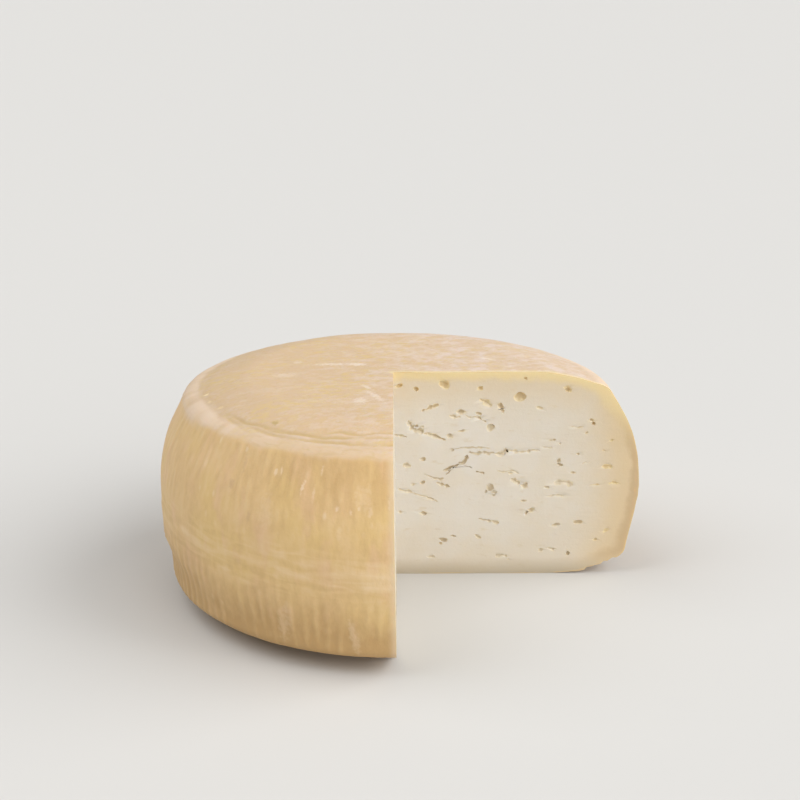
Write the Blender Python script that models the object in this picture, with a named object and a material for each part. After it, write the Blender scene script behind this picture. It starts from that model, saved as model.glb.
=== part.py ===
"""A round goat cheese with one quarter cut out of it, modelled at its real size.

The cheese is one solid. A curved profile is turned into a whole wheel that is a little out of round,
a wedge cutter takes the quarter out, and small hollows open the paste where the knife went through
its eyes and slits. Lengths are in metres, +Z is up, and the origin is at the middle of the base.
"""

from math import cos, exp, pi, radians, sin

import bmesh
import bpy
from mathutils import Matrix, Vector

MM = 0.001

# Driving dimensions of the wheel
WHEEL_RADIUS = 100.0 * MM
WHEEL_HEIGHT = 90.5 * MM
BELLY_HEIGHT = 43.0 * MM        # where the side is widest
CROWN_RADIUS = 60.0 * MM        # the level middle of the top
SHOULDER_RADIUS = 86.6 * MM     # the blunt corner between the top and the side
SHOULDER_HEIGHT = 83.2 * MM
HEEL_RADIUS = 95.6 * MM         # the corner between the side and the sloping foot
HEEL_HEIGHT = 9.0 * MM
BASE_RADIUS = 66.0 * MM         # the flat that the wheel stands on
AXIS_SHIFT = -0.6 * MM          # the wheel bulges to +X, so its axis stands off the middle of its box

# How finely the wheel is faceted
SEGMENTS = 100
SPAN_STEP = 6.5 * MM            # the longest step along the curved part of the profile

# The missing quarter: X above the knife's line, Y below zero
KNIFE_TOP_X = -3.2 * MM
KNIFE_BASE_X = -1.9 * MM
KNIFE_TURN = 0.0075             # how much the second cut leans in plan, in X for each unit of Y
KNIFE_REACH = 150.0 * MM
KNIFE_CLEARANCE = 12.0 * MM

# Colour of the rind
RIND_COLOUR = (0.70, 0.50, 0.26, 1.0)
RIND_ROUGHNESS = 0.55

# Where the side stands in (-) or out (+): angle, half width in degrees, height, half height, amount
SWELLS = (
    (170.0, 28.0, 86.0 * MM, 6.0 * MM, 2.0 * MM),
    (190.0, 24.0, 42.0 * MM, 12.0 * MM, -0.6 * MM),
    (198.0, 16.0, 24.0 * MM, 5.0 * MM, -1.5 * MM),
    (235.0, 40.0, 7.0 * MM, 8.0 * MM, 0.9 * MM),
    (0.0, 26.0, 38.0 * MM, 12.0 * MM, 0.9 * MM),
    (0.0, 22.0, 70.0 * MM, 9.0 * MM, -0.5 * MM),
    (95.0, 35.0, 66.0 * MM, 20.0 * MM, -0.6 * MM),
)

# Openings on the cut that faces -Y: X, height, half length, half thickness, tilt in degrees
FRONT_OPENINGS = (
    (18.6, 84.0, 2.0, 1.7, -25.0),
    (49.1, 79.6, 1.8, 1.7, 0.0),
    (68.7, 82.6, 1.6, 1.2, -30.0),
    (37.2, 66.2, 1.7, 1.6, 20.0),
    (37.9, 38.4, 2.5, 2.0, 40.0),
    (12.2, 75.2, 3.6, 0.8, 21.0),
    (35.0, 76.9, 3.2, 0.9, -29.0),
    (41.8, 75.2, 1.3, 1.2, -60.0),
    (24.8, 71.8, 2.2, 1.3, 10.0),
    (4.6, 66.3, 2.8, 1.4, -48.0),
    (12.4, 63.2, 4.6, 0.9, -14.0),
    (44.6, 55.4, 4.2, 0.8, 8.0),
    (24.8, 50.2, 3.0, 1.1, 34.0),
    (18.4, 40.7, 2.4, 0.8, -15.0),
    (66.6, 51.0, 1.5, 1.2, -30.0),
    (50.4, 41.2, 2.8, 0.8, -27.0),
    (54.9, 29.4, 2.0, 1.0, 20.0),
    (40.2, 23.5, 2.0, 0.8, -16.0),
    (18.1, 15.6, 1.8, 1.3, -25.0),
    (66.2, 22.3, 1.9, 1.1, 10.0),
    (75.0, 23.4, 1.8, 1.1, 8.0),
    (79.8, 68.0, 1.3, 1.1, -40.0),
    (68.0, 41.4, 2.4, 0.8, 5.0),
    (43.4, 8.2, 2.3, 0.8, -5.0),
)

# Openings on the cut that faces +X: Y, height, half length, half thickness, tilt in degrees
SIDE_OPENINGS = (
    (-14.0, 72.0, 1.9, 1.6, 15.0),
    (-27.0, 58.0, 3.8, 0.9, -12.0),
    (-20.0, 34.0, 1.7, 1.6, 0.0),
    (-43.0, 67.0, 2.4, 1.0, 22.0),
    (-39.0, 43.0, 3.6, 0.9, 9.0),
    (-52.0, 26.0, 1.9, 1.5, -20.0),
    (-61.0, 53.0, 2.9, 1.0, -16.0),
    (-73.0, 69.0, 1.6, 1.3, 30.0),
    (-78.0, 37.0, 1.9, 1.2, 0.0),
    (-66.0, 14.0, 2.4, 0.9, 12.0),
    (-31.0, 15.0, 1.8, 1.2, -8.0),
)
OPENING_DEPTH_RATIO = 0.9       # how deep a hollow goes, in half thicknesses


def profile_corners():
    """The points that the profile passes through, from the middle of the top to the middle of the base."""
    return (
        (0.0, WHEEL_HEIGHT - 0.3 * MM),
        (0.5 * CROWN_RADIUS, WHEEL_HEIGHT),
        (CROWN_RADIUS, WHEEL_HEIGHT - 0.2 * MM),
        (72.0 * MM, 88.2 * MM),
        (80.0 * MM, 85.9 * MM),
        (SHOULDER_RADIUS, SHOULDER_HEIGHT),
        (89.3 * MM, 79.4 * MM),
        (95.9 * MM, 67.8 * MM),
        (99.3 * MM, 55.5 * MM),
        (WHEEL_RADIUS, BELLY_HEIGHT),
        (99.1 * MM, 27.1 * MM),
        (97.0 * MM, 15.0 * MM),
        (HEEL_RADIUS, HEEL_HEIGHT),
        (89.2 * MM, 5.6 * MM),
        (81.0 * MM, 2.4 * MM),
        (76.5 * MM, 0.9 * MM),
        (BASE_RADIUS, 0.0),
        (0.5 * BASE_RADIUS, 0.0),
        (0.0, 0.0),
    )


def curve_point(before, start, end, after, share):
    """A point between start and end on a cubic whose slopes come from the neighbours, by chord length."""
    chord = (end - start).length
    slope_in = (end - before) / ((start - before).length + chord) * chord
    slope_out = (after - start) / ((after - end).length + chord) * chord
    square = share * share
    cube = square * share
    return (
        start * (2 * cube - 3 * square + 1)
        + slope_in * (cube - 2 * square + share)
        + end * (3 * square - 2 * cube)
        + slope_out * (cube - square)
    )


def smooth_profile():
    """The profile in short steps: straight across the crown and to the base, curved everywhere else."""
    corners = [Vector((radius, height)) for radius, height in profile_corners()]
    last = len(corners) - 1
    points = []
    for index in range(last):
        start = corners[index]
        end = corners[index + 1]
        on_base = end.y == 0.0
        on_crown = end.x <= CROWN_RADIUS and start.y > BELLY_HEIGHT
        if on_base or on_crown:
            points.append(start)
            continue
        before = corners[max(index - 1, 0)]
        after = corners[min(index + 2, last)]
        steps = round((end - start).length / SPAN_STEP + 0.5)
        points += [curve_point(before, start, end, after, step / steps) for step in range(steps)]
    points.append(corners[last])
    return points


def swell(angle, radius, height):
    """How far the side stands out of the turned profile, as a sum of smooth bumps and dips."""
    total = 0.0
    for middle, half_width, level, half_height, amount in SWELLS:
        around = ((angle - radians(middle) + pi) % (2 * pi) - pi) / radians(half_width)
        above = (height - level) / half_height
        total += amount * exp(-(around ** 2) - above ** 2)
    return total * (radius / WHEEL_RADIUS) ** 2


def wheel_mesh():
    """The whole wheel: one ring of points for each step of the profile, closed by a point at each end."""
    profile = smooth_profile()
    bm = bmesh.new()
    top = bm.verts.new((AXIS_SHIFT, 0.0, profile[0].y))
    base = bm.verts.new((AXIS_SHIFT, 0.0, profile[-1].y))
    rings = []
    for radius, height in profile[1:-1]:
        ring = []
        for segment in range(SEGMENTS):
            angle = 2 * pi * segment / SEGMENTS
            reach = radius + swell(angle, radius, height)
            ring.append(bm.verts.new((AXIS_SHIFT + reach * cos(angle), reach * sin(angle), height)))
        rings.append(ring)
    for segment in range(SEGMENTS):
        after = (segment + 1) % SEGMENTS
        bm.faces.new((top, rings[0][segment], rings[0][after]))
        bm.faces.new((base, rings[-1][after], rings[-1][segment]))
        for upper, lower in zip(rings, rings[1:]):
            bm.faces.new((upper[segment], lower[segment], lower[after], upper[after]))
    return finished_mesh(bm, "cheese")


def knife_line(height):
    """X of the line where the two cuts meet, which leans, so it depends on the height."""
    share = height / WHEEL_HEIGHT
    return KNIFE_BASE_X + (KNIFE_TOP_X - KNIFE_BASE_X) * share


def quarter_mesh():
    """The wedge that the knife takes out: a four-sided block with one edge on the knife's line."""
    bm = bmesh.new()
    levels = []
    for height in (-KNIFE_CLEARANCE, WHEEL_HEIGHT + KNIFE_CLEARANCE):
        line = knife_line(height)
        corners = (
            (line, 0.0),
            (line - KNIFE_TURN * KNIFE_REACH, -KNIFE_REACH),
            (KNIFE_REACH, -KNIFE_REACH),
            (KNIFE_REACH, 0.0),
        )
        levels.append([bm.verts.new((x, y, height)) for x, y in corners])
    low, high = levels
    bm.faces.new(reversed(low))
    bm.faces.new(high)
    for corner in range(len(low)):
        after = (corner + 1) % len(low)
        bm.faces.new((low[corner], low[after], high[after], high[corner]))
    return finished_mesh(bm, "quarter_cutter")


def add_hollow(bm, place, half_length, half_thickness, tilt, facing):
    """A squashed ball at a place on a cut, its long side across the cut and turned by the tilt."""
    size = Matrix.Diagonal((half_length, OPENING_DEPTH_RATIO * half_thickness, half_thickness, 1.0))
    lean = Matrix.Rotation(-radians(tilt), 4, "Y")
    turn = Matrix.Rotation(facing, 4, "Z")
    bmesh.ops.create_icosphere(
        bm, subdivisions=2, radius=1.0, matrix=Matrix.Translation(place) @ turn @ lean @ size
    )


def hollows_mesh():
    """Every hollow of both cuts, in one mesh."""
    bm = bmesh.new()
    for x, height, half_length, half_thickness, tilt in FRONT_OPENINGS:
        place = Vector((x, 0.0, height)) * MM
        add_hollow(bm, place, half_length * MM, half_thickness * MM, tilt, 0.0)
    for y, height, half_length, half_thickness, tilt in SIDE_OPENINGS:
        x = knife_line(height * MM) / MM + KNIFE_TURN * y
        place = Vector((x, y, height)) * MM
        add_hollow(bm, place, half_length * MM, half_thickness * MM, tilt, pi / 2)
    return finished_mesh(bm, "hollow_cutters")


def finished_mesh(bm, name):
    """The bmesh as a mesh datablock."""
    mesh = bpy.data.meshes.new(name)
    bm.to_mesh(mesh)
    bm.free()
    return mesh


def placed_object(mesh):
    """An object of the mesh's name, linked to the scene."""
    placed = bpy.data.objects.new(mesh.name, mesh)
    bpy.context.scene.collection.objects.link(placed)
    return placed


def cutter(mesh, smooth):
    """A guide that only cuts: hidden in renders and drawn as wires."""
    guide = placed_object(mesh)
    guide.hide_render = True
    guide.display_type = "WIRE"
    if smooth:
        mesh.shade_smooth()
    return guide


def subtract(target, guide):
    """A Boolean that takes the guide's volume away from the target."""
    cut = target.modifiers.new(f"minus {guide.name}", "BOOLEAN")
    cut.operation = "DIFFERENCE"
    cut.solver = "EXACT"
    cut.object = guide


def rind_material():
    """The tan rind."""
    material = bpy.data.materials.new("rind")
    material.use_nodes = True
    shader = material.node_tree.nodes["Principled BSDF"]
    shader.inputs["Base Color"].default_value = RIND_COLOUR
    shader.inputs["Roughness"].default_value = RIND_ROUGHNESS
    shader.inputs["Metallic"].default_value = 0.0
    material.diffuse_color = RIND_COLOUR
    return material


def main():
    for old in list(bpy.data.objects):
        bpy.data.objects.remove(old)
    cheese = placed_object(wheel_mesh())
    cheese.data.shade_smooth()
    cheese.data.materials.append(rind_material())
    subtract(cheese, cutter(quarter_mesh(), smooth=False))
    subtract(cheese, cutter(hollows_mesh(), smooth=True))


main()
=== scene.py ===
import itertools

import bmesh
import bpy
import numpy as np
from bpy.props import FloatProperty, FloatVectorProperty, IntProperty, PointerProperty
from bpy.types import Operator, Panel, PropertyGroup
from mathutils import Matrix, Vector


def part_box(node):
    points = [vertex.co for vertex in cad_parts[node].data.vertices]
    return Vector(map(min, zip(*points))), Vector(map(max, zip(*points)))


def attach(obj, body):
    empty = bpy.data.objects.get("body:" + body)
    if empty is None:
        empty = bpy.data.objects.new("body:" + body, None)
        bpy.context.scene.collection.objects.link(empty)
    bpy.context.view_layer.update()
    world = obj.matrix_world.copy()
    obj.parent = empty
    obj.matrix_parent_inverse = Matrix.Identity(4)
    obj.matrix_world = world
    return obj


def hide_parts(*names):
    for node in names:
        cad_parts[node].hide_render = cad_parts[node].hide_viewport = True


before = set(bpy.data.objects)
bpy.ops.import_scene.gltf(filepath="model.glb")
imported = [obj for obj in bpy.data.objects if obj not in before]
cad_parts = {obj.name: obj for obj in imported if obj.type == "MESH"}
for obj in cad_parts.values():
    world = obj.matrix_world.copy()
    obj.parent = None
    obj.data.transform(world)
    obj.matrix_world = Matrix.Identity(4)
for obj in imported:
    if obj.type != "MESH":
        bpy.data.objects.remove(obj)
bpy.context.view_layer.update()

bl_info = {
    "name": "Goat cheese wheel with a missing quarter",
    "version": (1, 0, 0),
    "blender": (4, 5, 0),
    "location": "3D View > Sidebar > Goat Cheese",
    "description": "Models a rinded goat cheese, its cut paste and the stage it is seen on",
    "category": "Object",
}

MM = 0.001
NODE = "cheese"
BODY = "root"

# The wheel, in millimetres; its height comes from the frame's own box
WHEEL_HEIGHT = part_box(NODE)[1].z / MM
WHEEL_RADIUS = 100.0
WHEEL_AXIS_X = -0.6
BELLY_HEIGHT = 43.0
CROWN_RADIUS = 60.0
BASE_RADIUS = 66.0

# The two cuts: the front one lies in Y = 0, the other leans and turns a little
KNIFE_TOP_X = -3.2
KNIFE_BASE_X = -1.9
KNIFE_TURN = 0.0075

# Profile of the rind from the middle of the top to the middle of the base: radius, height
PROFILE = (
    (0.0, WHEEL_HEIGHT - 0.3),
    (0.5 * CROWN_RADIUS, WHEEL_HEIGHT - 0.1),
    (CROWN_RADIUS, WHEEL_HEIGHT - 0.3),
    (72.0, 88.2),
    (80.0, 85.9),
    (86.6, 83.2),
    (89.3, 79.4),
    (95.9, 67.8),
    (99.3, 55.5),
    (WHEEL_RADIUS, BELLY_HEIGHT),
    (99.1, 27.1),
    (97.0, 15.0),
    (95.6, 9.0),
    (89.2, 5.6),
    (81.0, 2.4),
    (76.5, 0.9),
    (BASE_RADIUS, 0.0),
    (0.5 * BASE_RADIUS, 0.0),
    (0.0, 0.0),
)

# Ring steps under the foot: radius, how far the step stands out of the profile
FOOT_STEPS = (
    (74.0, 0.0), (79.8, 0.45), (80.8, -0.4), (82.9, 0.05), (84.4, -0.1), (86.3, 0.4),
    (88.1, -0.45), (89.4, 0.15), (91.7, -0.45), (93.5, 0.3), (95.6, -0.1),
)

# Where the side stands in (-) or out (+): angle, half width in degrees, height, half height, amount
SWELLS = (
    (170.0, 28.0, 86.0, 6.0, 1.6),
    (185.0, 26.0, 62.0, 14.0, -0.5),
    (190.0, 24.0, 42.0, 12.0, -0.6),
    (196.0, 18.0, 21.5, 5.0, -1.4),
    (194.0, 24.0, 14.0, 7.0, -0.9),
    (235.0, 40.0, 7.0, 8.0, 0.3),
    (0.0, 26.0, 38.0, 12.0, 0.9),
    (0.0, 22.0, 70.0, 9.0, -0.3),
    (24.0, 18.0, 74.0, 9.0, 0.5),
    (0.0, 30.0, 45.0, 40.0, 0.4),
    (95.0, 35.0, 66.0, 20.0, -0.6),
)

# The two wavy seams that the turned mould left round the side: angle, height of the upper, of the lower
SEAMS = (
    (0, 40, 35), (45, 44, 37), (95, 39, 31), (140, 41, 32), (180, 38, 27), (200, 41, 29), (216, 43.7, 33.5),
    (226, 45.7, 35.4), (233, 46.6, 37), (242, 47.2, 40.6), (251, 44.8, 39.4), (262, 42.5, 38),
    (270, 42, 37.5), (360, 40, 35),
)

# The seam's lines: column of SEAMS, how far below it, strength
SEAM_LINES = ((1, 0.0, 1.0), (2, 0.0, 1.0), (1, 3.6, 0.6), (2, 4.4, 0.5))

# The ring creases: radius at the left, how much less it is at the front, sway, length of a sway, strength
CREASES = (
    (78.6, 6.2, 1.1, 11.0, 0.85),
    (79.2, 3.4, 0.8, 9.0, 1.0),
    (80.7, 1.0, 0.5, 12.0, 1.0),
)

# Round and irregular eyes of the front cut: X, height, half length, half thickness, tilt in degrees, depth
FRONT_EYES = (
    (17.9, 84.9, 2.0, 1.5, -25, 1.2),
    (49.1, 79.6, 1.8, 1.7, 10, 1.6),
    (68.9, 82.6, 1.4, 1.1, -30, 1.1),
    (37.2, 66.3, 1.6, 1.5, 20, 1.3),
    (37.6, 39.6, 1.7, 1.3, 60, 1.0),
    (39.3, 37.4, 1.2, 0.9, 0, 0.6),
    (36.0, 37.8, 0.8, 0.6, 70, 0.6),
    (39.1, 36.2, 0.8, 0.6, -20, 0.55),
    (6.1, 82.9, 0.9, 0.8, 0, 1.3),
    (32.8, 83.3, 0.9, 0.8, 0, 0.9),
    (41.4, 75.4, 1.3, 1.0, -60, 1.2),
    (42.2, 73.4, 1.0, 0.7, -60, 0.8),
    (51.3, 87.4, 0.8, 0.6, 0, 0.7),
    (-0.6, 84.4, 1.4, 0.7, 10, 0.8),
    (57.5, 74.6, 1.3, 0.6, -20, 0.6),
    (20.2, 62.6, 1.2, 1.0, 0, 0.7),
    (21.4, 56.4, 1.2, 0.6, 0, 0.7),
    (25.4, 64.7, 1.3, 0.5, 10, 0.6),
    (9.1, 52.4, 1.0, 0.8, 0, 1.0),
    (74.3, 54.3, 0.8, 0.5, -10, 0.9),
    (66.2, 51.2, 1.2, 0.8, 60, 1.0),
    (66.9, 49.6, 1.2, 0.6, -20, 1.1),
    (72.5, 46.1, 1.2, 0.5, 0, 0.8),
    (9.2, 41.9, 1.1, 0.7, 30, 1.0),
    (61.6, 39.6, 1.2, 0.5, 0, 0.8),
    (9.6, 27.9, 1.6, 0.8, -10, 0.9),
    (75.2, 23.6, 1.6, 0.9, 6, 1.2),
    (66.2, 22.5, 1.9, 0.7, 8, 0.9),
    (18.1, 15.8, 1.7, 0.9, -20, 1.5),
    (16.9, 14.1, 0.7, 0.6, 0, 0.8),
    (71.6, 9.2, 0.9, 0.8, 0, 1.3),
    (59.9, 10.8, 1.0, 0.7, 20, 0.9),
    (62.4, 60.4, 0.7, 0.5, 0, 0.6),
    (63.9, 60.6, 0.7, 0.5, 0, 1.0),
    (66.4, 59.0, 0.6, 0.4, 0, 0.6),
    (88.0, 60.4, 0.8, 0.5, 20, 0.6),
    (79.2, 69.2, 0.9, 0.7, -30, 0.9),
    (80.2, 67.7, 0.8, 0.6, -50, 1.4),
    (77.3, 63.6, 0.9, 0.6, 30, 0.6),
    (84.9, 56.0, 0.6, 0.4, 0, 0.5),
    (55.3, 29.2, 1.4, 0.8, 20, 1.3),
    (53.3, 27.9, 1.0, 0.5, 60, 0.8),
    (52.0, 33.4, 1.0, 0.5, 0, 0.8),
    (87.4, 19.8, 1.2, 0.6, 30, 0.6),
    (83.0, 15.6, 0.9, 0.6, 20, 0.7),
    (12.9, 7.9, 1.6, 0.6, 0, 0.7),
    (32.8, 17.2, 1.4, 0.6, -30, 0.7),
    (22.3, 17.5, 1.0, 0.5, -10, 0.6),
    (46.2, 6.5, 0.6, 0.5, 0, 0.6),
    (-0.4, 28.6, 0.8, 0.5, 0, 0.6),
    (5.0, 41.0, 0.7, 0.5, 0, 0.6),
    (24.9, 73.0, 1.6, 1.0, 0, 1.1),
    (32.2, 72.3, 1.2, 0.6, -10, 1.0),
    (46.0, 46.0, 1.0, 0.6, 0, 0.6),
)

# Slits and cracks of the front cut: half thickness at each end, depth, then the points X, height along it
FRONT_SLITS = (
    (0.5, 0.6, 1.2, ((8.6, 73.2), (10.4, 74.0), (12.2, 75.1), (14.0, 75.6), (15.6, 76.6))),
    (0.6, 0.9, 1.1, ((32.0, 78.4), (34.2, 77.7), (35.6, 76.8), (37.6, 75.2))),
    (0.5, 0.4, 1.0, ((19.8, 71.5), (23.0, 70.6), (24.6, 71.2))),
    (0.4, 0.4, 1.0, ((26.4, 71.6), (28.8, 70.7), (31.2, 71.0), (34.2, 69.4), (35.4, 68.0))),
    (1.2, 0.9, 1.7, ((2.9, 69.6), (3.9, 67.2), (5.4, 65.7), (7.4, 64.9), (9.6, 63.9))),
    (0.8, 0.4, 1.2, ((9.6, 66.4), (7.2, 66.6), (5.0, 66.6))),
    (0.8, 0.3, 1.3, ((9.2, 63.9), (11.6, 63.3), (13.6, 62.7), (15.8, 61.7), (19.0, 60.9))),
    (0.5, 0.4, 1.2, ((-2.9, 63.2), (-0.9, 62.7), (2.4, 62.1))),
    (0.3, 0.3, 0.6, ((21.8, 57.0), (25.6, 57.2), (30.0, 57.4), (37.6, 57.2))),
    (0.6, 0.5, 1.0, ((28.0, 55.4), (31.4, 54.8), (34.6, 55.4), (36.6, 54.6), (39.0, 55.3))),
    (0.4, 0.8, 0.9, ((38.6, 54.8), (41.6, 54.4), (43.4, 55.9), (44.8, 56.3))),
    (0.7, 0.4, 0.8, ((44.0, 56.3), (46.6, 55.9), (49.0, 55.3), (52.8, 55.5))),
    (0.5, 0.7, 1.0, ((52.4, 55.5), (55.4, 56.3), (58.6, 55.5))),
    (0.5, 0.6, 1.5, ((17.2, 47.2), (20.6, 48.4), (23.0, 49.7), (24.6, 49.9))),
    (1.0, 0.4, 1.5, ((24.2, 50.4), (25.8, 50.8), (27.2, 52.8), (27.8, 54.2))),
    (0.3, 0.4, 1.0, ((18.6, 45.2), (20.8, 47.2), (22.4, 48.8))),
    (0.5, 0.3, 1.0, ((26.6, 50.0), (28.4, 48.8), (30.0, 48.6))),
    (0.4, 0.7, 1.2, ((31.2, 46.8), (33.4, 46.3), (35.4, 46.0))),
    (0.5, 0.6, 0.9, ((0.6, 49.7), (2.2, 49.4), (4.4, 49.4))),
    (0.7, 0.5, 1.3, ((14.8, 42.1), (16.6, 41.2), (18.8, 40.6), (21.0, 39.7))),
    (0.3, 0.4, 0.8, ((9.6, 46.0), (13.4, 44.2), (16.4, 43.3), (18.0, 43.9))),
    (0.4, 0.3, 0.8, ((-1.4, 39.2), (3.0, 37.8), (8.4, 36.2), (12.2, 34.8), (16.0, 32.9))),
    (0.9, 0.5, 1.2, ((46.2, 43.6), (48.2, 42.2), (50.2, 40.9))),
    (0.5, 0.8, 1.2, ((50.4, 40.6), (52.2, 40.2), (53.8, 41.0))),
    (0.8, 0.8, 0.8, ((64.4, 41.4), (67.4, 42.0), (70.6, 41.3), (72.6, 40.0))),
    (0.5, 0.4, 0.7, ((61.4, 35.0), (64.4, 36.0), (67.4, 35.7), (69.8, 35.9))),
    (0.4, 0.4, 0.6, ((74.6, 50.0), (77.8, 50.5), (82.0, 50.3))),
    (0.7, 0.6, 1.0, ((84.4, 49.0), (86.4, 48.6), (89.2, 48.8))),
    (0.5, 0.5, 0.7, ((79.6, 40.2), (82.0, 40.8), (84.8, 40.3))),
    (0.5, 0.5, 0.7, ((87.2, 40.6), (89.6, 41.5), (92.4, 41.2))),
    (0.3, 0.4, 0.8, ((32.6, 25.4), (35.8, 24.9), (38.8, 24.2))),
    (0.6, 0.7, 1.2, ((38.4, 24.3), (40.2, 23.6), (41.8, 22.8))),
    (0.7, 0.4, 1.0, ((40.4, 8.4), (43.0, 8.3), (46.0, 7.8))),
    (0.6, 0.6, 1.1, ((62.6, 11.8), (64.8, 11.0), (66.8, 11.1))),
    (0.3, 0.3, 0.5, ((70.0, 66.6), (73.6, 66.0), (76.2, 66.3))),
    (0.3, 0.3, 0.6, ((59.0, 57.6), (61.4, 57.0), (63.6, 57.3))),
    (0.3, 0.3, 0.5, ((40.0, 47.2), (43.2, 46.6), (46.8, 46.9), (49.6, 45.8))),
)

# Marks on the top: X, Y, half length, half width in millimetres, turn in degrees, strength
TOP_SCUFFS = (
    (-29.0, 12.0, 8.0, 2.0, 2.0, 0.5),
    (-18.0, 11.8, 3.8, 2.2, 0.0, 0.65),
    (-14.0, -21.0, 4.8, 1.3, -62.0, 0.5),
    (-15.8, -39.0, 3.2, 3.6, 0.0, 0.5),
    (-10.0, -34.0, 8.5, 1.6, -66.0, 0.45),
    (-47.0, -4.0, 6.0, 3.6, 10.0, 0.3),
    (-43.2, 15.3, 2.0, 2.2, 0.0, 0.4),
    (37.0, 20.0, 5.0, 1.6, -32.0, 0.55),
    (45.0, 8.0, 2.4, 2.0, 0.0, 0.35),
    (52.0, 24.0, 3.8, 3.0, 0.0, 0.3),
)
TOP_DOTS = (
    (-47.5, -58.2, 1.5, 2.0, 0.0, 0.8),
    (12.0, 44.0, 0.9, 1.2, 0.0, 0.4),
)
TOP_BUMPS = (
    (-77.8, -18.1, 1.3, 1.2, 0.0, 0.9),
    (-76.0, -27.0, 1.0, 1.6, 0.0, 0.4),
    (-70.5, -36.0, 1.6, 1.2, 0.0, 0.4),
)

# Marks on the side: distance round the rim, height, half length, half width, turn, strength
SIDE_PALE = (
    (432.1, 72.5, 0.8, 2.4, -14.0, 0.6),
    (446.8, 66.7, 0.8, 1.2, 0.0, 0.55),
    (452.2, 65.7, 0.7, 1.1, 0.0, 0.45),
    (455.2, 67.3, 0.6, 1.0, 0.0, 0.4),
    (459.4, 66.0, 0.9, 2.2, 0.0, 0.35),
    (466.5, 69.0, 0.7, 2.2, 0.0, 0.35),
    (456.5, 70.5, 3.6, 4.6, 8.0, 0.2),
    (419.0, 75.6, 0.8, 1.2, 0.0, 0.45),
    (438.9, 78.6, 0.7, 1.8, 0.0, 0.35),
    (401.4, 80.6, 1.0, 1.0, 0.0, 0.4),
    (437.0, 71.0, 0.6, 2.6, 0.0, 0.3),
    (418.0, 62.0, 3.5, 7.0, 0.0, 0.15),
    (425.0, 19.0, 3.0, 7.0, -8.0, 0.2),
    (453.0, 17.0, 1.7, 8.0, 12.0, 0.25),
)
SIDE_DARK = (
    (399.3, 68.4, 1.4, 2.0, 0.0, 0.4),
    (410.5, 59.0, 1.1, 2.2, -12.0, 0.3),
    (403.0, 76.0, 0.9, 3.2, 8.0, 0.3),
)

# Painted shade on the side, darker than the lamps and the pale floor leave it, in metres: heights from
# and to, distances round the rim from and to, amount. The upper front, the low front and the low left.
SIDE_PAINTED_SHADE = (
    (0.060, 0.076, 0.395, 0.440, -0.5),
    (0.034, 0.012, 0.375, 0.410, -0.3),
    (0.055, 0.022, 0.392, 0.362, -0.24),
)

# How many eyes and slits the unseen cut gets, and where they may lie: distance from the middle, height
SIDE_EYES = 44
SIDE_SLITS = 22
SIDE_AREA = ((3.0, 88.0), (7.0, 84.0))

# Spacing of the rind's rows along the profile: up to this distance along it, one row in so many millimetres
ROW_SPACING = ((58.0, 3.2), (70.0, 1.7), (90.0, 0.6), (158.0, 2.4), (169.0, 1.2), (190.0, 0.8), (262.0, 3.6))

# Grids: the rings inside COARSE_TOP and COARSE_BASE have COARSE_RATIO times fewer columns than the side
WHEEL_SHARE = 0.75
COARSE_TOP = 63.0
COARSE_BASE = 72.0
COLUMNS_PER_RIB = 6
COARSE_RATIO = 4
FACE_STEPS = 22
EYE_RINGS = 11
EYE_COLUMNS = 21
SLIT_STEP = 0.42
SLIT_COLUMNS = 13

# Size of the noise's table, the least angle of a sharp edge, and what is welded or dissolved, in metres
LATTICE = 32
SHARP_ANGLE = np.radians(38.0)
WELD_DISTANCE = 2e-6
SLIVER_LENGTH = 1e-7

# The materials' places on the wheel's mesh
RIND = 0
PASTE = 1
HOLLOW = 2

# Name, azimuth, elevation and strength of each light, then how wide each sun is, and the strength of the sky
LIGHTS = (
    ("right", 90.0, 35.0, 1.85),
    ("front right", 45.0, 25.0, 1.45),
    ("left", -90.0, 55.0, 1.22),
)
LIGHT_ANGLE = np.radians(55.0)
SKY_STRENGTH = 0.42

# The camera, in metres and, for its lens, millimetres
CAMERA_PLACE = (-0.0067, -0.5852, 0.2594)
CAMERA_AIM = (-0.0004, 0.0, 0.0457)
CAMERA_LENS = 66.66
CAMERA_SHIFT_Y = 0.0926
CAMERA_NEAR = 0.01


def length_property(name, description, default):
    """A length that a user may change."""
    return FloatProperty(name=name, description=description, default=default, unit="LENGTH")


def colour_property(name, description, default):
    """A colour that a user may change, as its linear red, green and blue."""
    return FloatVectorProperty(name=name, description=description, default=default, subtype="COLOR", size=3)


class CheeseSizes(PropertyGroup):
    rib_count: IntProperty(
        name="Ribs", description="Mould ribs round a whole wheel", default=126, min=20, max=400
    )
    rib_height: length_property("Rib height", "From the bottom of a groove to the top of a rib", 0.0003)
    crease_depth: length_property("Crease depth", "Depth of the ring creases on the shoulder", 0.0005)
    seam_height: length_property("Seam height", "How far the mould's seam stands out of the side", 0.0004)
    foot_step: FloatProperty(
        name="Foot steps", description="How marked the ring steps under the foot are", default=1.0, min=0.0
    )
    knife_wave: length_property("Knife waves", "How far the cut faces wander from flat", 0.0002)
    floor_size: length_property("Floor size", "Side of the floor", 30.0)


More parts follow.
